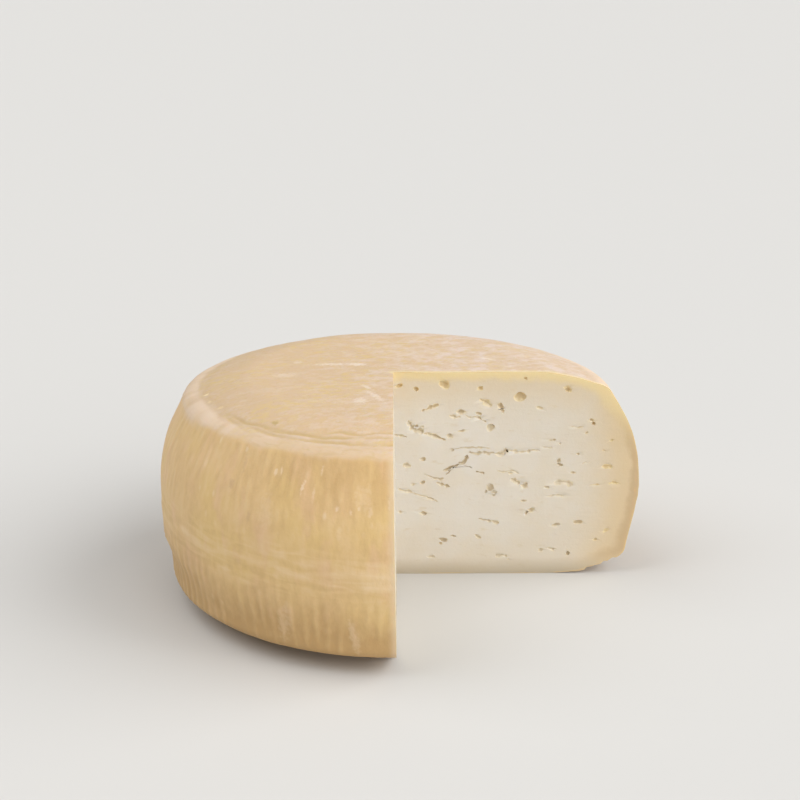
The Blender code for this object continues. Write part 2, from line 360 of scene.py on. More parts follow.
class CheeseColours(PropertyGroup):
    side: colour_property("Side", "Tan of the rind's side", (0.71, 0.492, 0.245))
    side_gold: colour_property("Side gold", "Yellower patches of the side", (0.72, 0.507, 0.225))
    side_pink: colour_property("Side pink", "Pinker patches of the side", (0.725, 0.487, 0.275))
    # Paler streaks and the seam, and painted light on the rib crests
    side_pale_and_painted_light: colour_property("Side light", "Crests of the ribs and the seam", (0.80, 0.60, 0.36))
    # Darker streaks, and painted shade in the rib grooves and on the foot
    side_dark_and_painted_shade: colour_property("Side dark", "Grooves and the shaded foot", (0.54, 0.345, 0.15))
    speck: colour_property("Specks", "Small pale specks on the side", (0.82, 0.64, 0.42))
    side_scuff: colour_property("Side scuffs", "Pale marks on the side", (0.83, 0.66, 0.47))
    side_spot: colour_property("Side spots", "Dark marks on the side", (0.50, 0.32, 0.20))
    top: colour_property("Top", "Cream of the top", (0.60, 0.434, 0.278))
    top_gold: colour_property("Top gold", "Yellower streaks of the top", (0.625, 0.462, 0.215))
    top_pale: colour_property("Top pale", "Paler bloom on the top", (0.675, 0.548, 0.465))
    top_scuff: colour_property("Top scuffs", "Pale marks on the top", (0.78, 0.67, 0.57))
    top_bump: colour_property("Top bumps", "Yellow bumps at the top's edge", (0.86, 0.70, 0.42))
    top_dot: colour_property("Top dots", "Dark dots on the top", (0.46, 0.33, 0.14))
    shoulder: colour_property("Shoulder", "Pale pink band round the shoulder", (0.735, 0.574, 0.43))
    # The band's front colour is darker and yellower than the shoulder's: painted shade where the lamps light
    # the front more, over the band's own pink
    shoulder_front_shaded: colour_property("Front shoulder", "The band towards the front", (0.635, 0.472, 0.312))
    crease: colour_property("Crease", "Darker ring creases", (0.54, 0.382, 0.185))
    rim: colour_property("Rim", "The rind's rim beside the leaning cut", (0.70, 0.56, 0.385))
    paste: colour_property("Paste", "Ivory of the cut paste", (0.724, 0.680, 0.607))
    paste_warm: colour_property("Paste warm", "Warmer patches of the paste", (0.706, 0.630, 0.514))
    outer_paste: colour_property("Outer paste", "Paste near the side's rind", (0.70, 0.544, 0.33))
    under_rind: colour_property("Under the rind", "Yellower paste under the top rind", (0.785, 0.637, 0.358))
    side_edge: colour_property("Side edge", "Paste just under the side's rind", (0.58, 0.43, 0.25))
    # Paste just above the base: partly its own browner tone, partly painted shade along the floor
    base_edge_and_shade: colour_property("Base edge", "Paste just above the base", (0.45, 0.37, 0.25))
    # Painted shade over the leaning cut's face, darkest near its rind, and warmer than the paste
    second_cut_painted_shade: colour_property("Second cut", "Warmer rim of the leaning cut", (0.50, 0.42, 0.29))
    # The eyes' walls: browner and darker than the paste, partly their own tone and partly painted shade
    # deeper in; the first also colours the paste's flecks
    eye: colour_property("Eye", "Inside of the eyes and slits", (0.63, 0.53, 0.37))
    eye_warm: colour_property("Eye near the rind", "Inside of those near the rind", (0.63, 0.47, 0.25))
    floor: colour_property("Floor", "Pale floor and backdrop", (0.62, 0.61, 0.59))


def smooth_step(value, start, end):
    """0 at the start, 1 at the end, and a smooth cubic between them."""
    share = np.clip((value - start) / (end - start), 0.0, 1.0)
    return share * share * (3.0 - 2.0 * share)


def hump(value, middle, half_width):
    """A bell of height 1: e to the minus square of the distance in half widths."""
    return np.exp(-(((value - middle) / half_width) ** 2))


def lattice_noise(points, cells, seed):
    """Smooth noise from -1 to 1: random numbers on a box lattice, blended by a smooth cubic."""
    table = np.random.default_rng(seed).uniform(-1.0, 1.0, (LATTICE,) * 3)
    scaled = points / np.asarray(cells, float)
    base = np.floor(scaled).astype(int)
    share = scaled - base
    share = share * share * (3.0 - 2.0 * share)
    total = np.zeros(points.shape[:-1])
    for corner in itertools.product((0, 1), repeat=3):
        index = (base + corner) % LATTICE
        weight = np.prod(np.where(np.array(corner) == 1, share, 1.0 - share), axis=-1)
        total += weight * table[index[..., 0], index[..., 1], index[..., 2]]
    return total


def knife_line(height):
    """X of the line where the cuts meet, a straight line between its ends on the base and the top."""
    return KNIFE_BASE_X + (KNIFE_TOP_X - KNIFE_BASE_X) * height / WHEEL_HEIGHT


def last_angle(height):
    """Angle at which the rim meets the leaning cut: where the circle crosses that plane at this height."""
    lean = np.arctan(KNIFE_TURN)
    return 2 * np.pi - np.arccos((knife_line(height) - WHEEL_AXIS_X) / WHEEL_RADIUS * np.cos(lean)) - lean


def wheel_point(share, radius, height):
    """A point in millimetres: from the knife's line towards the rim at this share of the turn.

    The rim is a circle round the wheel's axis. The point lies on the straight line from the knife's
    line at its height to the rim, at radius / wheel radius of the way, so a share of 0 or 1 stays
    exactly in a cut.
    """
    angle = share * last_angle(height)
    line = knife_line(height)
    reach = radius / WHEEL_RADIUS
    x = line + reach * (WHEEL_AXIS_X + WHEEL_RADIUS * np.cos(angle) - line)
    y = reach * WHEEL_RADIUS * np.sin(angle)
    return np.stack(np.broadcast_arrays(x, y, height), axis=-1)


def dense_profile(per_span=60):
    """The profile as a fine line: a cubic between each two corners, with slopes from their neighbours."""
    corners = np.array(PROFILE)
    before = np.vstack([corners[:1], corners[:-2]])
    start = corners[:-1]
    end = corners[1:]
    after = np.vstack([corners[2:], corners[-1:]])
    chord = np.linalg.norm(end - start, axis=1, keepdims=True)
    slope_in = (end - before) / (np.linalg.norm(start - before, axis=1, keepdims=True) + chord) * chord
    slope_out = (after - start) / (np.linalg.norm(after - end, axis=1, keepdims=True) + chord) * chord
    straight = (end[:, 1:] == 0.0) | ((end[:, :1] <= CROWN_RADIUS) & (start[:, 1:] > BELLY_HEIGHT))
    slope_in = np.where(straight, end - start, slope_in)
    slope_out = np.where(straight, end - start, slope_out)
    share = (np.arange(per_span) / per_span)[None, :, None]
    square, cube = share**2, share**3
    line = (
        start[:, None] * (2 * cube - 3 * square + 1)
        + slope_in[:, None] * (cube - 2 * square + share)
        + end[:, None] * (3 * square - 2 * cube)
        + slope_out[:, None] * (cube - square)
    )
    return np.vstack([line.reshape(-1, 2), corners[-1:]])


def profile_rows():
    """Radius, height and outward normal of each row, spaced along the profile by ROW_SPACING."""
    line = dense_profile()
    along = np.concatenate([[0.0], np.cumsum(np.linalg.norm(np.diff(line, axis=0), axis=1))])
    limits = np.array([limit for limit, _ in ROW_SPACING])
    spacing = np.array([step for _, step in ROW_SPACING])
    density = 1.0 / spacing[np.minimum(np.searchsorted(limits, along), len(limits) - 1)]
    rows = np.concatenate([[0.0], np.cumsum(np.diff(along) * density[1:])])
    count = int(round(rows[-1]))
    place = np.interp(np.linspace(0.0, rows[-1], count + 1), rows, along)
    radius = np.interp(place, along, line[:, 0])
    height = np.interp(place, along, line[:, 1])
    tangent = np.stack([np.gradient(radius, place), np.gradient(height, place)], axis=1)
    tangent /= np.linalg.norm(tangent, axis=1, keepdims=True)
    normal = np.stack([-tangent[:, 1], tangent[:, 0]], axis=1)
    normal[0] = (0.0, 1.0)
    normal[-1] = (0.0, -1.0)
    return radius, height, normal, place


def unrolled(angle, height):
    """The side laid flat, in millimetres: distance round the rim, height, nothing."""
    return np.stack(np.broadcast_arrays(angle * WHEEL_RADIUS, height, 0.0 * angle), axis=-1)


def swell(angle, radius, height):
    """How far the side stands out of the turned profile: a sum of smooth bumps and dips."""
    total = np.zeros(np.broadcast(angle, height).shape)
    for middle, half_width, level, half_height, amount in SWELLS:
        around = (np.degrees(angle) - middle + 180.0) % 360.0 - 180.0
        total += amount * hump(around, 0.0, half_width) * hump(height, level, half_height)
    return total * (radius / WHEEL_RADIUS) ** 2


def rim_noise(angle, cell, seed):
    """Smooth noise from -1 to 1 by the distance round the rim alone, in cells of so many millimetres."""
    return lattice_noise(unrolled(angle, 0.0 * angle), (cell, 1.0, 1.0), seed)


def rib_pattern(angle, height, sizes):
    """Ribs from about -0.4 to 0.8: ridges whose phase wanders, in short dashes above and longer ones below.

    Each ridge is (0.5 + 0.5 cos(ribs * angle + wander)) to the power 1.3, less its mean.
    """
    flat = unrolled(angle, height)
    wander = 0.35 * lattice_noise(flat, (17.0, 40.0, 1.0), 3)
    wander += 0.22 * lattice_noise(flat, (7.0, 19.0, 1.0), 23)
    ridge = (0.5 + 0.5 * np.cos(sizes.rib_count * angle + 2 * np.pi * wander)) ** 1.3 - 0.44
    upper = 0.55 * smooth_step(height, 84.0, 80.5) * smooth_step(height, 46.0, 66.0)
    lower = smooth_step(height, 7.5, 11.0) * smooth_step(height, 38.0, 24.0)
    lower = lower * (0.92 + 0.35 * hump(np.degrees(angle), 218.0, 20.0))
    dashes = np.clip(0.4 + 1.3 * lattice_noise(flat, (5.0, 5.0, 1.0), 24), 0.0, 1.3)
    uneven = 0.65 + 0.7 * lattice_noise(flat, (7.0, 11.0, 1.0), 4)
    uneven += 0.5 * lattice_noise(flat, (27.0, 21.0, 1.0), 2)
    return ridge * (upper * dashes + lower * np.clip(uneven, 0.05, 1.6) + 0.05)


def seam_lines(angle, height):
    """0 to 1 along the seams: two thin wavy lines with fainter ones below them, each fading in and out."""
    places = np.array(SEAMS, float)
    lines = np.zeros(np.broadcast(angle, height).shape)
    for number, (column, below, strength) in enumerate(SEAM_LINES):
        wave = 1.2 * rim_noise(angle, 8.0, 50 + number)
        level = np.interp(np.degrees(angle), places[:, 0], places[:, column]) - below + wave
        shown = np.clip(0.7 + 0.7 * rim_noise(angle, 11.0, 60 + number), 0.0, 1.0)
        lines = np.maximum(lines, strength * shown * hump(height, level, 1.1 + 0.3 * wave))
    return lines


def crease_lines(angle, radius, height, beside=0.0):
    """0 to 1 along the ring creases between top and shoulder, which run together towards the left.

    With a distance beside them, in millimetres, the same for the pale ridges that run outside each crease.
    """
    degrees = np.degrees(angle)
    shown = 0.15 + 0.85 * smooth_step(degrees, 207.0, 229.0)
    apart = smooth_step(degrees, 228.0, 266.0)
    width = 0.9 + 0.25 * rim_noise(angle, 8.0, 18)
    lines = np.zeros(np.broadcast(angle, radius).shape)
    for number, (start, spread, sway, cell, strength) in enumerate(CREASES):
        place = start - spread * apart + sway * rim_noise(angle, cell, 11 + number)
        place = place + beside + 0.3 * rim_noise(angle, 3.5, 80 + number)
        fade = np.clip(0.8 + 0.6 * rim_noise(angle, 10.0, 70 + number), 0.35, 1.0)
        lines = np.maximum(lines, strength * fade * hump(radius, place, width))
    return lines * shown * smooth_step(height, 80.0, 84.0)


def foot_steps(angle, radius, height):
    """Ring steps under the foot, in millimetres: FOOT_STEPS by a radius that wanders with the angle."""
    places = np.array(FOOT_STEPS)
    wander = 0.5 * rim_noise(angle, 19.0, 17) * smooth_step(angle, 0.0, 0.15)
    return smooth_step(height, 9.6, 8.6) * np.interp(radius + wander, places[:, 0], places[:, 1])


def relief(angle, radius, height, sizes):
    """How far the rind stands out, in millimetres: ribs, seams, creases, foot steps and unevenness."""
    space = np.stack(np.broadcast_arrays(radius * np.cos(angle), radius * np.sin(angle), height), axis=-1)
    on_side = smooth_step(height, 84.5, 80.5) * smooth_step(height, 6.0, 9.5)
    on_top = smooth_step(height, 82.0, 85.0)
    out = sizes.rib_height / MM * rib_pattern(angle, height, sizes) * on_side
    out += sizes.seam_height / MM * seam_lines(angle, height) * on_side
    out -= sizes.crease_depth / MM * crease_lines(angle, radius, height)
    out += 0.1 * on_top * hump(radius, 84.6, 2.0)
    out += sizes.foot_step * foot_steps(angle, radius, height)
    uneven = 0.2 * lattice_noise(space, (24.0,) * 3, 14) + 0.09 * lattice_noise(space, (7.0,) * 3, 15) - 0.1
    out += uneven * smooth_step(height, 3.0, 9.0)
    out += 0.04 * on_side * lattice_noise(unrolled(angle, height), (2.2, 4.0, 1.0), 16)
    return out


def grid_faces(rows, columns, start=0, flip=False):
    """Quads of a grid of points that is stored row by row."""
    index = start + np.arange(rows * columns).reshape(rows, columns)
    quads = np.stack([index[:-1, :-1], index[1:, :-1], index[1:, 1:], index[:-1, 1:]], axis=-1)
    quads = quads.reshape(-1, 4)
    return quads[:, ::-1] if flip else quads


class Patches:
    """Collects grids of points, each with its material, and welds them into one mesh."""

    def __init__(self):
        self.points = []
        self.faces = []
        self.materials = []
        self.count = 0

    def add(self, points, faces, material=RIND):
        """Takes in points in millimetres, and faces that count from the first of them."""
        flat = points.reshape(-1, 3)
        self.points.append(flat)
        self.faces += (faces + self.count).tolist()
        self.materials.append(np.full(len(faces), material, np.int32))
        self.count += len(flat)

    def grid(self, points, material=RIND, flip=False):
        """Takes in a grid of points with its quads."""
        rows, columns = points.shape[:2]
        self.add(points, grid_faces(rows, columns, flip=flip), material)

    def mesh(self, name):
        """One mesh of everything taken in, in metres, with the seams between the grids welded."""
        mesh = bpy.data.meshes.new(name)
        mesh.from_pydata((np.concatenate(self.points) * MM).tolist(), [], self.faces)
        mesh.polygons.foreach_set("material_index", np.concatenate(self.materials))
        bm = bmesh.new()
        bm.from_mesh(mesh)
        bmesh.ops.remove_doubles(bm, verts=bm.verts, dist=WELD_DISTANCE)
        bm.to_mesh(mesh)
        bm.free()
        return mesh


def strip_faces(coarse_columns, flip):
    """Triangles between a coarse row and a fine row with COARSE_RATIO (four) times its columns."""
    coarse = np.arange(coarse_columns)
    fine = coarse_columns + 1 + COARSE_RATIO * coarse
    triangles = np.stack([
        np.stack([coarse, fine, fine + 1], axis=-1),
        np.stack([coarse, fine + 1, fine + 2], axis=-1),
        np.stack([coarse, fine + 2, coarse + 1], axis=-1),
        np.stack([coarse + 1, fine + 2, fine + 3], axis=-1),
        np.stack([coarse + 1, fine + 3, fine + 4], axis=-1),
    ]).reshape(-1, 3)
    return triangles[:, ::-1] if flip else triangles


def rind_point(share, row, rows, sizes):
    """The finished rind at these shares of the turn and these rows: profile, swell and relief together."""
    radius, height, normal, _ = rows
    r = radius[row][:, None]
    z = height[row][:, None]
    angle = share[None, :] * last_angle(z)
    rise = relief(angle, r, z, sizes) * smooth_step(r, 0.0, 6.0)
    out = r + normal[row, :1] * rise + swell(angle, r, z)
    up = z + normal[row, 1:] * rise
    up = np.where(z <= 0.0, np.maximum(up, 0.0), up)
    return wheel_point(share[None, :], np.where(r > 0.0, out, 0.0), up)


def add_rind(patches, sizes):
    """The rind: a fine grid round the side and the shoulder, coarser grids for the top and the base."""
    rows = profile_rows()
    radius = rows[0]
    columns = round(sizes.rib_count * WHEEL_SHARE * COLUMNS_PER_RIB / COARSE_RATIO) * COARSE_RATIO
    fine = np.linspace(0.0, 1.0, columns + 1)
    coarse = fine[::COARSE_RATIO]
    first = int(np.argmax(radius > COARSE_TOP))
    last = len(radius) - int(np.argmax(radius[::-1] > COARSE_BASE))
    top, side, base = np.split(np.arange(len(radius)), (first, last))
    for row, share in ((top, coarse), (side, fine), (base, coarse)):
        patches.grid(rind_point(share, row, rows, sizes))
    for sparse, dense, flip in ((top[-1:], side[:1], False), (base[:1], side[-1:], True)):
        edges = [rind_point(coarse, sparse, rows, sizes)[0], rind_point(fine, dense, rows, sizes)[0]]
        patches.add(np.vstack(edges), strip_faces(len(coarse) - 1, flip))
    return rows


def add_cut_faces(patches, rows, sizes):
    """The two cuts: each a fan of straight lines from the rind's edge to the line where the cuts meet."""
    _, height, _, place = rows
    every = np.arange(len(height))
    level = WHEEL_HEIGHT * (1.0 - place / place[-1])
    level[0] = height[0]
    middle = np.stack([knife_line(level), 0.0 * level, level], axis=-1)
    inward = np.linspace(0.0, 1.0, FACE_STEPS + 1) ** 1.35
    for share, flip in ((0.0, True), (1.0, False)):
        edge = rind_point(np.array([share]), every, rows, sizes)[:, 0]
        points = edge[:, None] + inward[None, :, None] * (middle - edge)[:, None]
        calm = (smooth_step(inward, 0.0, 0.2) * smooth_step(inward, 1.0, 0.85))[None, :]
        calm = calm * smooth_step(place, 0.0, 6.0)[:, None]
        calm = calm * smooth_step(place, place[-1], place[-1] - 6.0)[:, None]
        wave = lattice_noise(points, (26.0, 26.0, 17.0), 20)
        wave += 0.3 * lattice_noise(points, (7.0, 7.0, 4.0), 21)
        outward = np.array([0.0, -1.0, 0.0]) if share == 0.0 else np.array([1.0, -KNIFE_TURN, 0.0])
        wave = wave if share == 0.0 else 0.6 * wave - 0.8
        points = points + (calm * wave * sizes.knife_wave / MM)[..., None] * outward
        patches.grid(points, PASTE, flip)


def cut_place(cut, along, height, depth):
    """A point in millimetres from its place on a cut: distance along it, height, and depth into the paste."""
    if cut == "front":
        return np.stack(np.broadcast_arrays(along, depth, height), axis=-1)
    x = knife_line(height) - KNIFE_TURN * along - depth
    return np.stack(np.broadcast_arrays(x, -along, height), axis=-1)


def add_eye(patches, cut, eye, seed):
    """An eye: a squashed ball with flaring lips, as wide as (1 - share of depth) ** 0.6, uneven all round."""
    along, height, half_length, half_thickness, tilt, depth = eye
    polar = np.linspace(0.0, np.pi, EYE_RINGS)[:, None]
    turn = np.linspace(0.0, 2 * np.pi, EYE_COLUMNS)[None, :]
    across, up = np.sin(polar) * np.cos(turn), np.sin(polar) * np.sin(turn)
    ball = np.stack(np.broadcast_arrays(across, up, np.cos(polar)), axis=-1)
    lumps = 1.0 + 0.30 * lattice_noise(ball + 40.0, (0.8,) * 3, seed)
    lumps += 0.14 * lattice_noise(ball + 60.0, (0.35,) * 3, seed)
    share = 1.0 - 2.0 * polar / np.pi
    reach = 1.25 * np.abs(1.0 - np.abs(share)) ** 0.6 * lumps
    u = np.cos(turn) * half_length * reach
    v = np.sin(turn) * half_thickness * reach
    lean = np.radians(tilt)
    x = along + u * np.cos(lean) - v * np.sin(lean)
    z = height + u * np.sin(lean) + v * np.cos(lean)
    patches.grid(cut_place(cut, x, z, 0.8 * depth * share * lumps), HOLLOW, cut == "front")


def add_slit(patches, cut, slit, seed):
    """A slit: a groove with flaring lips along a line of places, uneven, thinning to a point at each end."""
    first, last, depth, places = slit
    places = np.array(places, float)
    length = np.linalg.norm(np.diff(places, axis=0), axis=1).sum()
    share = np.linspace(0.0, 1.0, max(12, int(np.ceil(length / SLIT_STEP))) + 1)
    knots = np.linspace(0.0, 1.0, len(places))
    line = np.stack([np.interp(share, knots, places[:, 0]), np.interp(share, knots, places[:, 1])], axis=-1)
    line[1:-1] = 0.25 * line[:-2] + 0.5 * line[1:-1] + 0.25 * line[2:]
    spots = np.stack([line[:, 0], line[:, 1], 0.0 * share], axis=-1)
    wander = [lattice_noise(spots, (cell,) * 3, seed + number) for number, cell in enumerate((1.3, 0.9))]
    line = line + 0.3 * np.stack(wander, axis=-1)
    tangent = np.gradient(line, axis=0)
    tangent /= np.linalg.norm(tangent, axis=1, keepdims=True)
    across = np.stack([-tangent[:, 1], tangent[:, 0]], axis=-1)
    ends = np.sqrt(np.clip(1.0 - (2.0 * share - 1.0) ** 4, 0.0, 1.0))
    uneven = 1.0 + 0.7 * lattice_noise(spots, (1.3,) * 3, seed + 2)
    uneven += 0.35 * lattice_noise(spots, (0.6,) * 3, seed + 3)
    uneven = np.maximum(uneven, 0.2)
    thick = 1.45 * ((first + (last - first) * share) * ends * uneven)[:, None]
    deep = (depth * ends * (0.17 + 0.34 * uneven))[:, None]
    turn = np.linspace(0.0, 2 * np.pi, SLIT_COLUMNS)[None, :]
    side = np.arcsin(np.cos(turn)) / (np.pi / 2)
    side = np.sign(side) * np.abs(side) ** 1.1
    u = line[:, :1] + across[:, :1] * thick * side
    v = line[:, 1:] + across[:, 1:] * thick * side
    into = deep * np.arcsin(np.sin(turn)) / (np.pi / 2)
    patches.grid(cut_place(cut, u, v, into), HOLLOW, cut != "front")


def side_openings():
    """Eyes and slits for the unseen cut, scattered with the front cut's sizes and kept apart."""
    rng = np.random.default_rng(11)
    (near, far), (low, high) = SIDE_AREA
    taken = []
    eyes = []
    slits = []
    while len(slits) < SIDE_SLITS or len(eyes) < SIDE_EYES:
        spot = np.array([rng.uniform(near, far), rng.uniform(low, high)])
        make_slit = len(slits) < SIDE_SLITS
        room = 5.5 if make_slit else 3.2
        if any(np.linalg.norm((spot - other) / (1.0, 0.6)) < room + size for other, size in taken):
            continue
        taken.append((spot, 3.4 if make_slit else 1.6))
        if make_slit:
            half = rng.uniform(1.4, 3.6)
            lean = np.radians(rng.normal(0.0, 16.0))
            step = np.array([np.cos(lean), np.sin(lean)]) * half
            bend = rng.normal(0.0, 0.5, 2)
            thick = rng.uniform(0.3, 0.9, 2)
            deep = thick.mean() * rng.uniform(1.4, 2.2)
            slits.append((*thick, deep, (spot - step, spot + bend, spot + step)))
        else:
            half = rng.uniform(0.6, 1.1) ** 2 * rng.uniform(1.0, 1.8)
            thick = half * rng.uniform(0.5, 0.95)
            tilt = rng.uniform(-40, 40)
            eyes.append((*spot, half, thick, tilt, half * rng.uniform(0.6, 1.0)))
    return eyes, slits


def opening_cutters():
    """Two meshes of closed hollows, so that an eye may meet a slit without both lying in one mesh."""
    eyes = Patches()
    slits = Patches()
    cuts = (("front", FRONT_EYES, FRONT_SLITS, 100, 300), ("side", *side_openings(), 200, 500))
    for cut, cut_eyes, cut_slits, eye_seed, slit_seed in cuts:
        for number, eye in enumerate(cut_eyes):
            add_eye(eyes, cut, eye, eye_seed + number)
        for number, slit in enumerate(cut_slits):
            add_slit(slits, cut, slit, slit_seed + 3 * number)
    return eyes.mesh("eye_cutters"), slits.mesh("slit_cutters")


def vertex_places(mesh):
    """The mesh's points in millimetres, as one array."""
    flat = np.empty(len(mesh.vertices) * 3, np.float32)
    mesh.vertices.foreach_get("co", flat)
    return flat.reshape(-1, 3).astype(float) / MM


def store(mesh, name, values):
    """A number for each point of the mesh, kept as an attribute for the materials."""
    attribute = mesh.attributes.new(name, "FLOAT", "POINT")
    attribute.data.foreach_set("value", np.ascontiguousarray(values, np.float32))


def rind_distance(radius, height):
    """Millimetres from a point of a cut to the rind's profile: to the nearest of the profile's fine steps."""
    nearest = np.full(radius.shape, np.inf)
    for r, z in dense_profile(10):
        nearest = np.minimum(nearest, (radius - r) ** 2 + (height - z) ** 2)
    return np.sqrt(nearest)


def shoulder_band(angle, radius, height):
    """0 to 1 over the pale band round the shoulder, which a darker line splits near the front."""
    flat = unrolled(angle, height)
    degrees = np.degrees(angle)
    edge = rim_noise(angle, 6.0, 30)
    front = smooth_step(degrees, 252.0, 268.0)
    left = smooth_step(degrees, 222.0, 204.0)
    inner = 82.9 - 1.5 * front - 1.2 * left + 0.7 * edge
    low = 82.8 + 0.7 * front - 1.2 * left + 0.9 * edge
    soft = 0.8 + 0.9 * left
    band = smooth_step(radius, inner - soft, inner + soft) * smooth_step(height, low - 1.3, low + 1.1)
    band *= 1.0 - 0.75 * front * hump(radius, 84.2 + 0.5 * edge, 0.7)
    worn = 0.8 + 0.45 * lattice_noise(flat, (5.0, 3.0, 1.0), 31)
    worn += 0.2 * lattice_noise(flat, (1.5, 9.0, 1.0), 32)
    return band * np.clip(worn, 0.0, 1.0)


def store_looks(mesh, sizes):
    """What the materials need to know of each point: where it lies and how the relief runs there."""
    place = vertex_places(mesh)
    x, y, height = place.T
    angle = np.arctan2(y, x - WHEEL_AXIS_X) % (2 * np.pi)
    radius = np.hypot(x - WHEEL_AXIS_X, y)
    into_side = knife_line(height) + KNIFE_TURN * y - x
    in_second = (x < 0.0) & (y < -1.0)
    beside_front = (into_side < 0.5) & (y > -1.0)
    looks = {
        "rib": rib_pattern(angle, height, sizes) + 0.5,
        "seam": np.clip(seam_lines(angle, height), 0.0, 1.0),
        "crease": np.clip(crease_lines(angle, radius, height), 0.0, 1.0),
        "ridge": np.clip(crease_lines(angle, radius, height, 1.7), 0.0, 1.0),
        "band": shoulder_band(angle, radius, height),
        "top": smooth_step(height, 82.0, 84.6),
        "under": rind_distance(radius, height),
        "outer": smooth_step(radius, 66.0, 92.0),
        "deep": np.abs(np.where(in_second, into_side, np.minimum(np.abs(y), 9.0))),
        "front_rim": np.where(beside_front, smooth_step(y, 3.2, 0.0), 0.0),
        "second_rim": np.where(y < -1.0, smooth_step(into_side, 3.2, 0.0), 0.0),
        # 1 on the leaning cut's face, fading 1 to 3 mm into the paste: where painted shade goes
        "second_cut_painted_shade": np.where(y < -2.0, smooth_step(into_side, 3.0, 1.0), 0.0),
    }
    for name, values in looks.items():
        store(mesh, name, values)
    unroll = mesh.attributes.new("unrolled", "FLOAT_VECTOR", "POINT")
    unroll.data.foreach_set("vector", (unrolled(angle, height) * MM).astype(np.float32).ravel())


